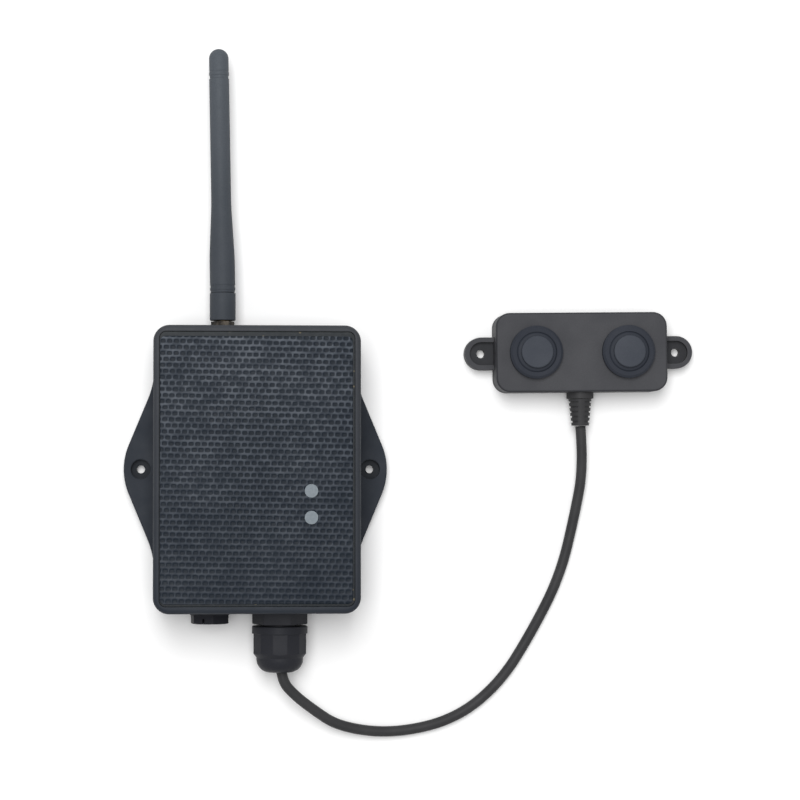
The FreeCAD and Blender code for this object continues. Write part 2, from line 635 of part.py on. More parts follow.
def gland():
    wall, high, across = half_length, s.connector_height, s.gland_across

    def out(distance):
        return (across, -wall - distance, high)

    hexagon = common("gland_hex",
                     prism("gland_hex_blank", 6, s.gland_corner, s.gland_hex_length, out(0), "-y", spin=8.0),
                     turned("gland_hex_turning", [(0, 0), (11.1, 0), (11.1, s.gland_hex_length),
                                                  (0, s.gland_hex_length)], out(0), "-y",
                            rounds=[(11.1, s.gland_hex_length, 0.7)]))
    thread = cylinder("gland_screw", s.gland_thread, 8.6, out(-8.6), "-y")
    neck = cylinder("gland_collet_thread", s.gland_neck, 11.4, out(0), "-y")
    bores = [cylinder("gland_bore", 4.6, 17.4, out(-8.6), "-y"),
             cylinder("gland_seal_seat", 5.6, 3, out(8.8), "-y"),
             ring("gland_seal_groove", 9.2, s.gland_thread, 1.0, out(0), "-y")]
    sub_part(cut("gland_body", fuse("gland_blank", hexagon, thread, neck), *bores))
    sub_part(ring("gland_oring", 9.2, s.gland_thread, 1.0, out(0), "-y"))
    nut = prism("gland_locknut_blank", 6, 11.2, 3.4, out(-s.case_wall - 3.4), "-y")
    sub_part(cut("gland_locknut", nut,
                 cylinder("gland_locknut_bore", s.gland_thread, 3.4, out(-s.case_wall - 3.4), "-y")))
    sub_part(turned("gland_seal_insert", [(s.lead_radius, 2.5), (4.6, 2.5), (4.6, 8.8), (5.6, 8.8),
                                          (5.6, 11.6), (5.0, 13.2), (s.lead_radius, 13.2)], out(0), "-y"))
    claw = turned("gland_claw_ring", [(s.lead_radius + 0.2, 13.3), (5.4, 13.3), (5.4, 15.2), (4.4, 17.6),
                                      (s.lead_radius + 0.2, 17.6)], out(0), "-y")
    slots = [slot_across(f"claw_slot_{n}", (12, 0.7, 3), out(14.8), "-y", 60 * n) for n in range(3)]
    sub_part(cut("gland_claw", claw, *slots))
    sub_part(ring("gland_slip_ring", 5.6, 3.1, 0.8, out(17.9), "-y"))

    start, end = s.gland_nut_start, s.gland_nut_start + s.gland_nut_length
    dome = turned("gland_nut_turning", [(0, start), (11.0, start), (11.0, start + 3.2), (10.9, start + 3.5),
                                        (10.9, end - 8), (s.gland_dome, end - 5.8), (s.gland_dome, end),
                                        (0, end)],
                  out(0), "-y", rounds=[(s.gland_dome, end, s.gland_dome_round)])
    faces = prism("gland_nut_faces", 12, s.gland_nut_radius + 0.1, s.gland_nut_length, out(start), "-y",
                  spin=16)
    flange = turned("gland_nut_flange", [(0, start), (s.gland_corner, start), (s.gland_corner, start + 2.9),
                                         (0, start + 3.4)], out(0), "-y",
                    rounds=[(s.gland_corner, start, 0.5)])
    mouth = s.gland_mouth
    room = turned("gland_nut_room", [(0, start), (s.gland_neck + 0.05, start), (s.gland_neck + 0.05, 18.8),
                                     (mouth, 18.8), (mouth, end - 1), (mouth + 0.4, end), (0, end)],
                  out(0), "-y")
    shell = fuse("gland_nut_blank", common("gland_nut_barrel", dome, faces), flange)
    sub_part(cut("gland_nut", shell, room))
    sub_part(cylinder("case_lead_end", s.lead_radius, s.lead_start + 9.9, out(-9.9), "-y"))


# ---------------------------------------------------------------- sensor lead and head
LEAD_ROUTE = [
    (9.45, -75.0, 12.5), (10.4, -82.6, 12.45), (15.3, -89.0, 11.3), (21.8, -94.3, 8.9), (33.2, -102.3, 5.0),
    (54.9, -105.4, 2.15), (79.6, -100.0, 2.15), (98.0, -85.4, 2.15), (111.3, -64.1, 2.15),
    (122.1, -42.4, 2.15), (128.1, -18.5, 2.4), (131.3, 1.5, 5.8), (129.85, 17.2, 7.0),
]


def sensor_lead():
    solid, length, radii = tube_solid(LEAD_ROUTE, s.lead_radius.value)
    section = math.pi * s.lead_radius.value ** 2
    print("sensor lead: length %.1f mm, volume over section x length %.4f" %
          (length, solid.Volume / (section * length)))
    print("sensor lead radii:", " ".join("%.0f" % radius for radius in radii))
    print("sensor lead lowest point %.2f mm" % solid.optimalBoundingBox().ZMin)
    item = doc.addObject("Part::Feature", "sensor_lead")
    item.Shape = solid
    return item


def head_part(name, item):
    holder = doc.addObject("Part::Compound", name)
    holder.Links = [item]
    bind(holder, "Placement.Base.x", s.head_across)
    bind(holder, "Placement.Base.y", s.head_up)
    holder.Placement.Rotation = FreeCAD.Rotation(V(0, 0, 1), s.head_turn.value)
    return sub_part(holder)


def sensor_head():
    tall, wall = s.head_height, s.head_wall
    shell = plate("head_block", s.head_width, s.head_length, s.head_corner, tall, (0, 0, 0),
                  top_round=s.head_edge_round)
    span = s.head_hole_across
    ears = [box("head_ear_bar", (span, 2 * s.head_ear_radius, s.head_ear_height), (0, 0, 0))]
    floors = []
    holes = [plate("head_cavity", s.head_width - 2 * wall, s.head_length - 2 * wall,
                   s.head_corner - wall, tall - wall, (0, 0, 0))]
    for n, side in enumerate((-1, 1)):
        at = (side * span / 2, 0)
        ears.append(cylinder(f"head_ear_{n}", s.head_ear_radius, s.head_ear_height, (*at, 0)))
        floors.append(cylinder(f"ear_floor_{n}", s.head_ear_radius - s.head_rim, 2, (*at, 4.0)))
        floors.append(box(f"ear_floor_run_{n}", (7, 2 * (s.head_ear_radius - s.head_rim), 2),
                          (side * (span / 2 - 3.5), 0, 4.0)))
        holes.append(cylinder(f"head_hole_{n}", s.head_hole, s.head_ear_height, (*at, 0)))
        holes.append(cylinder(f"head_port_{n}", s.transducer_can + 0.02, tall,
                              (side * s.transducer_across / 2, 0, 0)))
    corners = [(i * 29.0, j * 10.4) for i, j in CORNERS]
    pillars = [cylinder(f"head_pillar_{n}", 2.2, tall - wall - 1.8, (*at, 1.8))
               for n, at in enumerate(corners)]
    tapped = [cylinder(f"head_tapping_{n}", 1.1, 6.2, (*at, 0)) for n, at in enumerate(corners)]
    outside = fuse("head_outside", shell, cut("head_ears", fuse("head_ear_blanks", *ears), *floors))
    holes.append(cylinder("head_lead_way", 3.2, wall + 0.6, (0, 0.6 + wall - s.head_length / 2 - 0.3,
                                                           s.boot_height), "-y"))
    hollow = cut("head_hollow", outside, *holes)
    head_part("head_shell", cut("head_shell_solid", fuse("head_filled", hollow, *pillars), *tapped))

    clear = 0.02
    back = plate("back_blank", s.head_width - 2 * wall - clear, s.head_length - 2 * wall - clear,
                 s.head_corner - wall, 1.8, (0, 0, 0))
    screw_ways = [cylinder(f"back_screw_way_{n}", 1.1, 1.8, (*at, 0)) for n, at in enumerate(corners)]
    head_part("head_back_plate", cut("back_solid", back, *screw_ways))
    screws = [turned(f"head_screw_{n}", [(0, 0), (1.1, 0), (1.1, 6.2), (0, 6.2)], (*at, 0))
              for n, at in enumerate(corners)]
    head_part("head_screws", group("head_screw_set", screws))

    chips = [plate("head_circuit", 50, 22, 1, 1.2, (0, 0, 2.6)), box("timing_chip", (6, 5, 1.2), (0, 2, 3.8)),
             box("driver_coil", (5, 5, 3), (0, -5, 3.8))]
    head_part("head_board", group("head_board_set", chips))
    piezos = []

    for n, (name, side) in enumerate((("left", -1), ("right", 1))):
        at = side * s.transducer_across / 2
        collar = turned(f"collar_{n}", [(s.transducer_can + 0.02, 0), (s.transducer_collar, 0),
                                        (s.transducer_collar, 2.2), (s.transducer_collar - 0.9, 3.0),
                                        (s.transducer_can + 0.02, 3.0)], (at, 0, tall))
        head_part(f"transducer_collar_{name}", collar)
        can = turned(f"can_{n}", [(0, 5.0), (s.transducer_can - 0.8, 5.0), (s.transducer_can - 0.8, 4.4),
                                  (s.transducer_can, 4.4), (s.transducer_can, 12.9), (7.4, 13.4),
                                  (s.transducer_face, 13.6), (s.transducer_face, 15.2), (0, 15.2)],
                     (at, 0, 4.2), rounds=[(s.transducer_face, 15.2, 0.5)])
        head_part(f"transducer_{name}", can)
        piezos.append(cylinder(f"piezo_{n}", 5.0, 0.8, (at, 0, 8.3)))
    head_part("piezo_discs", group("piezo_pair", piezos))

    length = s.boot_length
    boot = turned("boot_turning", [
        (s.lead_radius, -1.2), (3.1, -1.2), (3.1, 0), (5.4, 0), (5.4, 2.5), (4.6, 2.7),
        (4.0, 8.2), (3.5, length), (s.lead_radius, length)], (0, -s.head_length / 2, s.boot_height), "-y")
    grooves = []
    for n in range(5):
        along = 3.6 + 1.95 * n
        outer = 4.6 - 0.11 * (along - 2.7)
        groove = ring(f"boot_groove_{n}", outer + 0.5, outer - 0.55, 0.75,
                      (0, -s.head_length / 2 - along, s.boot_height), "-y")
        spine = box(f"boot_spine_{n}", (2.6, 0.75, 14), (0, -s.head_length / 2 - along - 0.375, 0))
        grooves.append(cut(f"boot_cut_{n}", groove, spine))
    head_part("lead_boot", cut("boot_solid", boot, *grooves))
    head_part("head_lead_end", cylinder("head_lead_stub", s.lead_radius, length + 5,
                                        (0, 5 - s.head_length / 2, s.boot_height), "-y"))


def build():
    sub_part(rear_case())
    sub_part(gasket_ring("case_gasket"))
    sub_part(front_cover())
    sub_part(group("case_screws", [
        screw(f"case_screw_{n}", s.case_screw, 27.0, 2.9, 2.2, (i * s.boss_across, j * s.boss_up, 3.4))
        for n, (i, j) in enumerate(CORNERS)]))
    solar_panel()
    electronics()
    antenna()
    vent()
    gland()
    sub_part(sensor_lead())
    sensor_head()


def export():
    doc.recompute()
    for item in doc.Objects:
        if {"Invalid", "Error"} & set(item.State):
            raise RuntimeError(f"{item.Name} failed: {item.State} {item.getStatusString()}")
    os.makedirs("parts", exist_ok=True)
    for item in sub_parts:
        shape = item.Shape
        if shape.isNull() or not shape.isValid() or not shape.Solids:
            raise RuntimeError(f"{item.Label} has no valid shape")
        shape.exportStep(f"parts/{item.Label}.step")
        print("%-24s solids %d volume %.1f" % (item.Label, len(shape.Solids), shape.Volume))
    print(len(sub_parts), "sub-parts")


build()
export()
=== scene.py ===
"""Looks of the solar-powered ultrasonic distance sensor. Metres, in the CAD part's frame: the sensor
lies on its back at Z = 0, +Y is up the case towards the antenna and +Z points out of the panel.
"""
import json
import math

import bmesh
import bpy
import numpy as np
from mathutils import Matrix, Vector


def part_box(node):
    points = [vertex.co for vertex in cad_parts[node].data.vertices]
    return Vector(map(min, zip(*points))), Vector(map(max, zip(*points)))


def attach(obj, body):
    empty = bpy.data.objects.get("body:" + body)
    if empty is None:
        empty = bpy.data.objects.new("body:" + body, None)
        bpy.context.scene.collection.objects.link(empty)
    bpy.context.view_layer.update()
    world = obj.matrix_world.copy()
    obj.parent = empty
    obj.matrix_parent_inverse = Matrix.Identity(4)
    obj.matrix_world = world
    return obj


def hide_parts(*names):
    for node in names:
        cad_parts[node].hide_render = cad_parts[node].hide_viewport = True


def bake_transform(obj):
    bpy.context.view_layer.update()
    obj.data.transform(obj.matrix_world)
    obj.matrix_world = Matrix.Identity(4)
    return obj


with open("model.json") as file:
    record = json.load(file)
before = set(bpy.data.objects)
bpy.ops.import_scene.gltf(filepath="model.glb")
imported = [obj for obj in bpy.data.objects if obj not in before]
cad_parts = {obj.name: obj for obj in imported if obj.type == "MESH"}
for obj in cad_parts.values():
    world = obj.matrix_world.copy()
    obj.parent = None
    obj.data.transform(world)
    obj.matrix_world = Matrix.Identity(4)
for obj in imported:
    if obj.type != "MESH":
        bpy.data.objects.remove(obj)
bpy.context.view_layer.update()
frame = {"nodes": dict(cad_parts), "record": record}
nodes = frame["nodes"]
MM = 0.001


# ---------------------------------------------------------------- camera, light and floor
CAMERA_AT, CAMERA_SEES = (-0.0226, 0.0001, 1.0), (0.0419, 0.0278, 0.0)
LENS, SENSOR_WIDTH, LENS_SHIFT, NEAREST = 112.5, 36, 0.05, 0.02
STAGE_MIDDLE = Vector((0.03, 0.01, 0.0))
FLOOR_WIDTH, PAPER_WHITE, SKY_STRENGTH = 8, 0.95, 0.46


def aim(thing, position, target, up=(0, 1, 0)):
    """Point thing's own -Z from position at target, with its own +Y towards up."""
    forward = (Vector(target) - Vector(position)).normalized()
    right = forward.cross(Vector(up)).normalized()
    above = right.cross(forward)
    turn = Matrix((right, above, -forward)).transposed().to_4x4()
    thing.matrix_world = Matrix.Translation(position) @ turn


def add_camera():
    camera = bpy.data.objects.new("camera", bpy.data.cameras.new("camera"))
    bpy.context.scene.collection.objects.link(camera)
    bpy.context.scene.camera = camera
    camera.data.lens = LENS
    camera.data.sensor_width = SENSOR_WIDTH
    camera.data.shift_x = LENS_SHIFT
    camera.data.clip_start = NEAREST
    aim(camera, CAMERA_AT, CAMERA_SEES)


def add_softbox(name, tilt_x, tilt_y, distance, width, length, power):
    """A rectangular light whose direction leans by two angles, in degrees, from straight up."""
    light = bpy.data.lights.new(name, "AREA")
    light.shape = "RECTANGLE"
    light.size, light.size_y = width, length
    light.energy = power
    lamp = bpy.data.objects.new(name, light)
    bpy.context.scene.collection.objects.link(lamp)
    lean = Vector((math.tan(math.radians(tilt_x)), math.tan(math.radians(tilt_y)), 1)).normalized()
    aim(lamp, STAGE_MIDDLE + lean * distance, STAGE_MIDDLE)


def add_stage():
    bpy.ops.mesh.primitive_plane_add(size=FLOOR_WIDTH, location=(0, 0, 0))
    floor = bpy.context.object
    floor.name = "floor"
    paper = Paint("paper", Roughness=0.9)
    paper.set("Specular IOR Level", 0.0)
    paper.set("Base Color", (PAPER_WHITE, PAPER_WHITE, PAPER_WHITE, 1))
    floor.data.materials.append(paper.material)
    world = bpy.data.worlds.new("studio")
    world.use_nodes = True
    background = world.node_tree.nodes["Background"]
    background.inputs["Color"].default_value = (1, 1, 1, 1)
    background.inputs["Strength"].default_value = SKY_STRENGTH
    bpy.context.scene.world = world
    bpy.context.scene.view_settings.view_transform = "Standard"
    add_softbox("key", tilt_x=-6, tilt_y=12, distance=1.6, width=0.7, length=1.25, power=22.5)


# ---------------------------------------------------------------- materials
FILM_CORNER = 0.002
FILM_STEP = 0.0003
DIMPLE_ACROSS, DIMPLE_UP, DIMPLE_SLOPE = 0.00257, 0.00233, math.radians(-1.0)
DIMPLE_DEPTH, DIMPLE_SQUARE, DIMPLE_WALL = 0.00016, 3.6, 0.34
DIMPLE_HALF_WIDTH, DIMPLE_HALF_HEIGHT = 0.475, 0.40
# Place, radius and soft edge of the painted shade in the two ear wells.
SHADED_WELL_ACROSS, SHADED_WELL_RADIUS, SHADED_WELL_EDGE = 0.0455, 0.0039, 0.0002


class Paint:
    """A Principled material, built up node by node."""

    def __init__(self, name, **sockets):
        self.material = bpy.data.materials.new(name)
        self.material.use_nodes = True
        self.tree = self.material.node_tree
        self.shader = self.tree.nodes["Principled BSDF"]
        for socket, value in sockets.items():
            self.set(socket, value)
        self.place = self.add("ShaderNodeTexCoord").outputs["Object"]

    def set(self, socket, value):
        self.shader.inputs[socket].default_value = value

    def add(self, kind, inputs=None, **settings):
        """A node with its settings, and its inputs given as values or as other nodes' outputs."""
        node = self.tree.nodes.new(kind)
        for name, value in settings.items():
            setattr(node, name, value)
        for name, value in (inputs or {}).items():
            if isinstance(value, bpy.types.NodeSocket):
                self.tree.links.new(value, node.inputs[name])
            else:
                node.inputs[name].default_value = value
        return node

    def join(self, output, socket):
        self.tree.links.new(output, self.shader.inputs[socket])

    def noise(self, size, detail=3.0, roughness=0.5, place=None):
        """Noise whose features are about size metres across."""
        inputs = {"Vector": place or self.place, "Scale": 1 / size, "Detail": detail,
                  "Roughness": roughness}
        return self.add("ShaderNodeTexNoise", inputs).outputs["Fac"]

    def ramp(self, factor, *stops):
        """Colours or grey levels at places along a factor."""
        node = self.add("ShaderNodeValToRGB", {"Fac": factor})
        elements = node.color_ramp.elements
        while len(elements) < len(stops):
            elements.new(0.5)
        for element, (place, colour) in zip(elements, stops):
            element.position = place
            element.color = (*colour, 1) if isinstance(colour, tuple) else (colour, colour, colour, 1)
        return node.outputs["Color"]

    def remap(self, factor, low, high, start=0.0, end=1.0):
        """Low to high as the factor goes from start to end."""
        inputs = {"Value": factor, "From Min": start, "From Max": end, "To Min": low, "To Max": high}
        return self.add("ShaderNodeMapRange", inputs).outputs["Result"]

    def mix(self, factor, one, two):
        node = self.add("ShaderNodeMix", data_type="RGBA", blend_type="MIX")
        for socket, value in ((node.inputs[0], factor), (node.inputs[6], one), (node.inputs[7], two)):
            if isinstance(value, bpy.types.NodeSocket):
                self.tree.links.new(value, socket)
            else:
                socket.default_value = (*value, 1) if isinstance(value, tuple) else value
        return node.outputs[2]

    def math(self, operation, one, two=0.0):
        return self.add("ShaderNodeMath", {0: one, 1: two}, operation=operation).outputs[0]

    def vector(self, operation, one, two=(0, 0, 0)):
        return self.add("ShaderNodeVectorMath", {0: one, 1: two}, operation=operation).outputs["Vector"]

    def stretched(self, scale):
        """The place on the part, with each axis scaled."""
        return self.add("ShaderNodeMapping", {"Vector": self.place, "Scale": scale}).outputs["Vector"]

    def along(self, axis, start, end):
        """0 to 1 between two places along one of the part's own axes."""
        place = self.add("ShaderNodeSeparateXYZ", {"Vector": self.place}).outputs[axis]
        return self.remap(place, 0.0, 1.0, start, end)

    def bump(self, height, depth, normal=None):
        inputs = {"Height": height, "Distance": depth, "Strength": 1.0}
        if normal:
            inputs["Normal"] = normal
        return self.add("ShaderNodeBump", inputs).outputs["Normal"]


def shade_in_ear_wells(paint):
    """Painted shade mask: 1 inside the two wells that sink the wall screws' heads, 0 everywhere else."""
    side = paint.vector("ABSOLUTE", paint.place)
    flat = paint.vector("MULTIPLY", paint.vector("SUBTRACT", side, (SHADED_WELL_ACROSS, 0, 0)), (1, 1, 0))
    away = paint.add("ShaderNodeVectorMath", {0: flat}, operation="LENGTH").outputs["Value"]
    return paint.remap(away, 1.0, 0.0, SHADED_WELL_RADIUS - SHADED_WELL_EDGE, SHADED_WELL_RADIUS + SHADED_WELL_EDGE)


def moulded(name, dark, light, patch=0.02, gloss=(0.5, 0.62), specular=0.15, edge_wear_and_highlight=None, edge=0.0004,
            shifts=()):
    """Moulded plastic or rubber: slow colour drift, a fine eroded grain and paler edges, partly rubbed wear
    and partly painted highlight.

    Each of shifts is (colour, strength, spans), a change of colour where all its spans are 1. A
    span is (axis, start, end), or a function of the paint that gives 0 to 1.
    """
    grain, depth = 0.0006, 0.00003
    paint = Paint(name)
    paint.set("Specular IOR Level", specular)
    drift = paint.noise(patch, detail=4)
    colour = paint.ramp(drift, (0.35, dark), (0.65, light))
    for other, strength, spans in shifts:
        amount = strength
        for span in spans:
            here = span(paint) if callable(span) else paint.along(*span)
            amount = paint.math("MULTIPLY", here, amount)
        colour = paint.mix(amount, colour, other)
    fine = paint.noise(grain, detail=2, roughness=0.6)
    colour = paint.mix(paint.remap(fine, 0.0, 0.25, 0.3, 0.7), colour, tuple(c * 0.7 for c in dark))
    # Edges are painted paler: partly rubbed wear, partly a painted highlight on the rounded edges.
    if edge_wear_and_highlight:
        soft = paint.add("ShaderNodeBevel", {"Radius": edge}, samples=4).outputs["Normal"]
        hard = paint.add("ShaderNodeNewGeometry").outputs["Normal"]
        turn = paint.add("ShaderNodeVectorMath", {0: soft, 1: hard},
                         operation="DOT_PRODUCT").outputs["Value"]
        rubbed_and_lit_edges = paint.remap(turn, 0.6, 0.0, 0.85, 0.99)
        patchy = paint.math("MULTIPLY", rubbed_and_lit_edges, paint.remap(paint.noise(0.004), 0.2, 1.0, 0.3, 0.6))
        colour = paint.mix(patchy, colour, edge_wear_and_highlight)
        paint.join(paint.bump(fine, depth, soft), "Normal")
    else:
        paint.join(paint.bump(fine, depth), "Normal")
    paint.join(colour, "Base Color")
    paint.join(paint.remap(paint.noise(patch / 3), gloss[0], gloss[1], 0.3, 0.7), "Roughness")
    return paint.material


def metal(name, dark, light, gloss=(0.2, 0.4), stretch=(1, 1, 1)):
    """Bare metal with fine drawn lines and patches of tarnish."""
    paint = Paint(name, Metallic=1.0)
    fine = paint.noise(0.0004, detail=4, place=paint.stretched(stretch))
    tarnish = paint.noise(0.003, detail=5)
    paint.join(paint.ramp(tarnish, (0.35, dark), (0.6, light)), "Base Color")
    paint.join(paint.remap(fine, gloss[0], gloss[1], 0.3, 0.7), "Roughness")
    paint.join(paint.bump(fine, 0.00001), "Normal")
    return paint.material


def circuit_board(name, mask, track):
    """Dark solder mask with slightly paler tracks and small pads."""
    paint = Paint(name, Roughness=0.35)
    paint.set("Specular IOR Level", 0.12)
    bricks = paint.add("ShaderNodeTexBrick", {
        "Vector": paint.place, "Scale": 90.0, "Mortar Size": 0.012, "Color1": (*mask, 1),
        "Color2": (*[c * 0.85 for c in mask], 1), "Mortar": (*track, 1)}, offset=0.37, squash=1.6)
    cells = paint.add("ShaderNodeTexVoronoi", {"Vector": paint.place, "Scale": 260.0})
    pads = paint.remap(cells.outputs["Distance"], 1.0, 0.0, 0.10, 0.16)
    colour = paint.mix(pads, bricks.outputs["Color"], (0.12, 0.1, 0.06))
    paint.join(colour, "Base Color")
    height = paint.add("ShaderNodeRGBToBW", {"Color": colour}).outputs["Val"]
    paint.join(paint.bump(height, 0.00003), "Normal")
    paint.join(paint.remap(paint.noise(0.002), 0.25, 0.45), "Roughness")
    return paint.material


def panel_skin():
    """The embossed film over the solar cells: blue-black, with painted highlights on the ridges between its
    dimples, and dimples dark, partly the film's own blue-black and partly painted shade.
    """
    paint = Paint("panel_skin", Roughness=0.4)
    paint.set("Specular IOR Level", 0.08)
    low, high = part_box("panel_film")
    ridge = paint.along("Z", high.z - DIMPLE_DEPTH, high.z)
    drift = paint.noise(0.025, detail=4)
    dimple_colour_and_shade = paint.ramp(drift, (0.35, (0.006, 0.010, 0.016)), (0.65, (0.010, 0.015, 0.022)))
    ridge_highlight = paint.ramp(drift, (0.35, (0.068, 0.079, 0.097)), (0.65, (0.093, 0.104, 0.123)))
    # The painted ridge highlight is broken into short dashes.
    dashes = paint.stretched((0.7, 1.6, 1))
    patchy = paint.remap(paint.noise(0.0028, detail=2, place=dashes), 0.0, 0.85, 0.36, 0.62)
    ridge_highlight = paint.mix(patchy, ridge_highlight, (0.020, 0.026, 0.036))
    # The painted ridge highlight is painted fainter towards the bottom of the panel.
    highlight_fade_down = paint.math("MULTIPLY", paint.along("Y", high.y, low.y), 0.72)
    ridge_highlight = paint.mix(highlight_fade_down, ridge_highlight, (0.014, 0.019, 0.028))
    paint.join(paint.mix(ridge, dimple_colour_and_shade, ridge_highlight), "Base Color")
    paint.join(paint.remap(paint.noise(0.01), 0.34, 0.46, 0.3, 0.7), "Roughness")
    return paint.material


def light_pipe():
    """Frosted clear plastic, cloudy and grey."""
    paint = Paint("light_pipe", Roughness=0.35)
    cloud = paint.noise(0.0012, detail=4)
    paint.join(paint.ramp(cloud, (0.3, (0.068, 0.096, 0.12)), (0.7, (0.098, 0.128, 0.152))), "Base Color")
    paint.join(paint.bump(cloud, 0.00005), "Normal")
    return paint.material


def coloured_wire(name, low, high, colours):
    """Wire insulation whose colour changes from core to core, from low to high along X."""
    paint = Paint(name, Roughness=0.4)
    stops = [(n / len(colours), colour) for n, colour in enumerate(colours)]
    paint.join(paint.ramp(paint.along("X", low, high), *stops), "Base Color")
    paint.join(paint.bump(paint.noise(0.0005), 0.00001), "Normal")
    return paint.material


def make_materials():
    """The finish of each of the record's material slots."""
    return {
        "case_plastic": moulded("case_plastic", (0.017, 0.022, 0.031), (0.022, 0.027, 0.036),
                                edge_wear_and_highlight=(0.06, 0.065, 0.074), edge=0.0008,
                                # Painted highlight: the front face is painted paler near its top level, most
                                # towards the top end where the light comes from.
                                shifts=[((0.050, 0.053, 0.059), 0.9,
                                         [("Z", 0.031, 0.0345), ("Y", -0.075, 0.056)]),
                                        # Painted shade: the two ear wells are painted dark.
                                        ((0.007, 0.010, 0.014), 0.85, [shade_in_ear_wells])]),
        "panel_film": panel_skin(),
        "solar_cell": moulded("solar_cell", (0.008, 0.012, 0.03), (0.014, 0.02, 0.05), gloss=(0.15, 0.25)),
        "board_green": circuit_board("board_green", (0.008, 0.012, 0.016), (0.012, 0.018, 0.022)),
        "adhesive": moulded("adhesive", (0.02, 0.02, 0.02), (0.035, 0.035, 0.035), gloss=(0.8, 0.95)),
        "light_pipe": light_pipe(),
        "seal_rubber": moulded("seal_rubber", (0.012, 0.012, 0.013), (0.02, 0.02, 0.022), gloss=(0.7, 0.85)),
        "stainless": metal("stainless", (0.45, 0.45, 0.44), (0.66, 0.66, 0.65), stretch=(1, 8, 1)),
        # Painted shade: nickel and brass are painted near-black, standing in for the dark surroundings they
        # reflect.
        "nickel": metal("nickel", (0.012, 0.011, 0.010), (0.055, 0.048, 0.04), gloss=(0.4, 0.6)),
        "brass": metal("brass", (0.016, 0.013, 0.009), (0.07, 0.052, 0.032), gloss=(0.4, 0.6)),
        "contact_gold": metal("contact_gold", (0.85, 0.6, 0.22), (0.95, 0.74, 0.34), gloss=(0.1, 0.2)),
        "copper": metal("copper", (0.6, 0.26, 0.14), (0.82, 0.42, 0.26), gloss=(0.2, 0.4)),
        "white_insulator": moulded("white_insulator", (0.7, 0.7, 0.66), (0.82, 0.82, 0.79), gloss=(0.4, 0.5)),
        "antenna_rubber": moulded("antenna_rubber", (0.044, 0.051, 0.061), (0.054, 0.061, 0.072),
                                  gloss=(0.55, 0.65),
                                  shifts=[((0.088, 0.1, 0.115), 0.9, [("Y", 0.085, 0.165)])]),
        "black_nylon": moulded("black_nylon", (0.018, 0.019, 0.024), (0.025, 0.026, 0.031),
                               gloss=(0.4, 0.5), specular=0.08, edge_wear_and_highlight=(0.05, 0.052, 0.056)),
        "component_black": moulded("component_black", (0.012, 0.012, 0.012), (0.022, 0.022, 0.022)),
        "shield_tin": metal("shield_tin", (0.55, 0.55, 0.53), (0.72, 0.72, 0.7), stretch=(6, 1, 1)),
        "battery_wrap": moulded("battery_wrap", (0.03, 0.15, 0.35), (0.05, 0.2, 0.42), gloss=(0.2, 0.3)),
        "terminal_blue": moulded("terminal_blue", (0.03, 0.17, 0.12), (0.05, 0.22, 0.16)),
        "button_white": moulded("button_white", (0.7, 0.7, 0.68), (0.82, 0.82, 0.8)),
        "core_wires": coloured_wire("lead_core_colours", 0.0025, 0.0165,
                                    [(0.4, 0.03, 0.03), (0.02, 0.02, 0.02), (0.6, 0.55, 0.1),
                                     (0.75, 0.75, 0.72)]),
        "lead_jacket": moulded("lead_jacket", (0.034, 0.034, 0.036), (0.044, 0.044, 0.046), patch=0.01,
                               gloss=(0.5, 0.6)),
        "head_plastic": moulded("head_plastic", (0.048, 0.049, 0.055), (0.058, 0.059, 0.065),
                                edge_wear_and_highlight=(0.1, 0.1, 0.1),
                                # Painted shade: everything below 5.2 mm, the ear-well floors and the lower
                                # walls, is painted darker.
                                shifts=[((0.018, 0.019, 0.022), 0.85, [("Z", 0.0052, 0.0044)]),
                                        # Painted shade: a dark band just under the body's top face, along its
                                        # top edge.
                                        ((0.022, 0.023, 0.027), 0.8,
                                         [("Z", 0.0135, 0.0139), ("Z", 0.0145, 0.0143)])]),
        "transducer_ring": moulded("transducer_ring", (0.027, 0.031, 0.041), (0.034, 0.038, 0.049),
                                   gloss=(0.7, 0.8)),
        "transducer_skin": moulded("transducer_skin", (0.042, 0.048, 0.061), (0.052, 0.058, 0.072),
                                   gloss=(0.55, 0.65),
                                   # Painted shade: the can below the face, inside the collar, is painted
                                   # darker.
                                   shifts=[((0.024, 0.028, 0.038), 1.0, [("Z", 0.0188, 0.0180)])]),
        "piezo_ceramic": moulded("piezo_ceramic", (0.66, 0.62, 0.5), (0.78, 0.74, 0.62)),
    }


def paint_nodes(materials):
    """Give every CAD node the finish of its material slot."""
    for part in frame["record"]["subparts"]:
        slots = nodes[part["node"]].data.materials
        slots.clear()
        slots.append(materials[part["material_slot"]])


# ---------------------------------------------------------------- sensor lead
LEAD_ROUTE = [
    (0.00945, -0.0750, 0.0125), (0.0101, -0.0832, 0.01248), (0.0153, -0.0890, 0.0113),
    (0.0218, -0.0943, 0.0089), (0.0332, -0.1023, 0.0050), (0.0549, -0.1054, 0.00215),
    (0.0796, -0.1000, 0.00215), (0.0980, -0.0854, 0.00215), (0.1113, -0.0641, 0.00215),
    (0.1223, -0.0424, 0.00215), (0.1281, -0.0185, 0.0024), (0.1313, 0.0015, 0.0058), (0.12985, 0.0172, 0.0070),
]
LEAD_RADIUS = 0.00205
ROUTE_STEPS, TUBE_SIDES = 16, 28


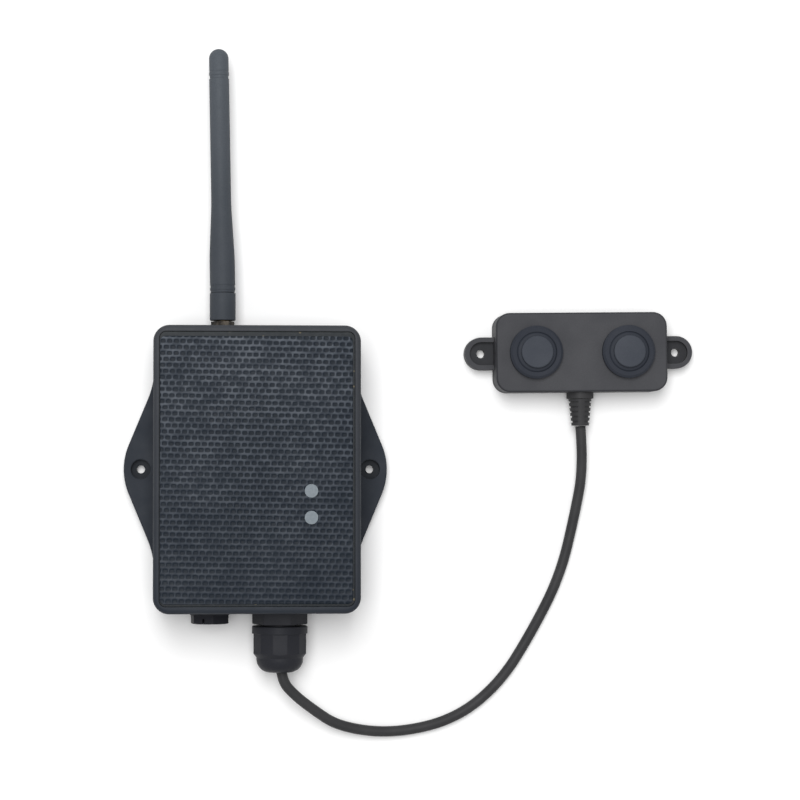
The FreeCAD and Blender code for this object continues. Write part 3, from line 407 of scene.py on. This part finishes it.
def smooth_line(name, route, steps):
    """Points along a NURBS line whose control points are the route."""
    curve = bpy.data.curves.new(name, "CURVE")
    curve.dimensions = "3D"
    curve.resolution_u = steps
    spline = curve.splines.new("NURBS")
    spline.points.add(len(route) - 1)
    for point, place in zip(spline.points, route):
        point.co = (*place, 1)
    spline.order_u = 3
    spline.use_endpoint_u = True
    holder = bpy.data.objects.new(name, curve)
    bpy.context.scene.collection.objects.link(holder)
    line = bpy.data.meshes.new_from_object(holder)
    points = [vertex.co.copy() for vertex in line.vertices]
    bpy.data.objects.remove(holder)
    bpy.data.meshes.remove(line)
    return points


def tube_mesh(name, points, radius, sides):
    """A closed tube whose rings follow the points without twisting."""
    mesh = bmesh.new()
    normal = Vector((0, 0, 1))
    rings = []
    for n, point in enumerate(points):
        ahead = points[min(n + 1, len(points) - 1)] - points[max(n - 1, 0)]
        ahead.normalize()
        normal = (normal - ahead * normal.dot(ahead)).normalized()
        across = ahead.cross(normal)
        turns = [2 * math.pi * k / sides for k in range(sides)]
        rings.append([mesh.verts.new(point + radius * (math.cos(a) * across + math.sin(a) * normal))
                      for a in turns])
    for one, two in zip(rings, rings[1:]):
        for k in range(sides):
            mesh.faces.new((one[k], one[(k + 1) % sides], two[(k + 1) % sides], two[k]))
    mesh.faces.new(list(reversed(rings[0])))
    mesh.faces.new(rings[-1])
    return finished(name, mesh, smooth=True)


def finished(name, mesh, smooth=False):
    """A new object from a bmesh, with its faces turned outwards."""
    bmesh.ops.recalc_face_normals(mesh, faces=mesh.faces)
    data = bpy.data.meshes.new(name)
    mesh.to_mesh(data)
    mesh.free()
    for face in data.polygons:
        face.use_smooth = smooth
    piece = bpy.data.objects.new(name, data)
    bpy.context.scene.collection.objects.link(piece)
    return piece


def sensor_lead(materials):
    line = smooth_line("lead_line", LEAD_ROUTE, ROUTE_STEPS)
    lead = tube_mesh("lead_cable", line, LEAD_RADIUS, TUBE_SIDES)
    lead.data.materials.append(materials["lead_jacket"])
    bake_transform(lead)
    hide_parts("sensor_lead")


# ---------------------------------------------------------------- solar panel film
def dimple_heights(x, y):
    """Height from the film's top at each point: staggered rows of wide, square-ended dimples."""
    u = x * math.cos(DIMPLE_SLOPE) + y * math.sin(DIMPLE_SLOPE)
    v = (-x * math.sin(DIMPLE_SLOPE) + y * math.cos(DIMPLE_SLOPE)) / DIMPLE_UP
    row = np.round(v)
    column = u / DIMPLE_ACROSS - 0.5 * (row % 2)
    across = np.abs(column - np.round(column)) / DIMPLE_HALF_WIDTH
    up = np.abs(v - row) / DIMPLE_HALF_HEIGHT
    out = (across ** DIMPLE_SQUARE + up ** DIMPLE_SQUARE) ** (1 / DIMPLE_SQUARE)
    t = np.clip((1 - out) / DIMPLE_WALL, 0, 1)
    return -DIMPLE_DEPTH * t * t * (3 - 2 * t)


def panel_film(materials):
    """The embossed film as real geometry, with its two holes for the indicator pipes."""
    low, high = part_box("panel_film")
    pipes_low, pipes_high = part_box("indicator_pipes")
    radius = (pipes_high.x - pipes_low.x) / 2 + 0.02 * MM
    centre_x = (pipes_low.x + pipes_high.x) / 2
    centres = [(centre_x, pipes_low.y + radius), (centre_x, pipes_high.y - radius)]
    columns = round((high.x - low.x) / FILM_STEP)
    rows = round((high.y - low.y) / FILM_STEP)
    across = np.linspace(low.x, high.x, columns + 1)
    up = np.linspace(low.y, high.y, rows + 1)
    x, y = np.meshgrid(across, up)
    z = high.z + dimple_heights(x, y)
    corner_x = np.clip(x, low.x + FILM_CORNER, high.x - FILM_CORNER)
    corner_y = np.clip(y, low.y + FILM_CORNER, high.y - FILM_CORNER)
    away = np.hypot(x - corner_x, y - corner_y)
    beyond = away > FILM_CORNER
    pull = np.where(beyond, FILM_CORNER / np.maximum(away, 1e-9), 1)
    x, y = corner_x + (x - corner_x) * pull, corner_y + (y - corner_y) * pull
    inside = np.zeros(x.shape, bool)
    for cx, cy in centres:
        gap = np.hypot(x - cx, y - cy)
        near = gap < radius + 0.5 * FILM_STEP
        inside |= gap < radius - FILM_STEP
        push = np.where(near, radius / np.maximum(gap, 1e-9), 1)
        x, y = cx + (x - cx) * push, cy + (y - cy) * push
    mesh = bmesh.new()
    grid = [[mesh.verts.new((x[j, i], y[j, i], z[j, i])) for i in range(columns + 1)]
            for j in range(rows + 1)]
    for j in range(rows):
        for i in range(columns):
            if not (inside[j:j + 2, i:i + 2].any() or beyond[j:j + 2, i:i + 2].all()):
                mesh.faces.new((grid[j][i], grid[j][i + 1], grid[j + 1][i + 1], grid[j + 1][i]))
    bmesh.ops.delete(mesh, geom=[v for v in mesh.verts if not v.link_faces], context="VERTS")
    bmesh.ops.remove_doubles(mesh, verts=mesh.verts, dist=0.02 * MM)
    rim = [edge for edge in mesh.edges if edge.is_boundary]
    made = bmesh.ops.extrude_edge_only(mesh, edges=rim)["geom"]
    for vertex in made:
        if isinstance(vertex, bmesh.types.BMVert):
            vertex.co.z = low.z
    bottom = [edge for edge in made if isinstance(edge, bmesh.types.BMEdge) and edge.is_boundary]
    bmesh.ops.triangle_fill(mesh, edges=bottom, use_beauty=True, use_dissolve=False)
    film = finished("embossed_film", mesh, smooth=True)
    film.data.materials.append(materials["panel_film"])
    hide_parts("panel_film")
    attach(film, "case")


add_camera()
materials = make_materials()
paint_nodes(materials)
sensor_lead(materials)
panel_film(materials)
add_stage()
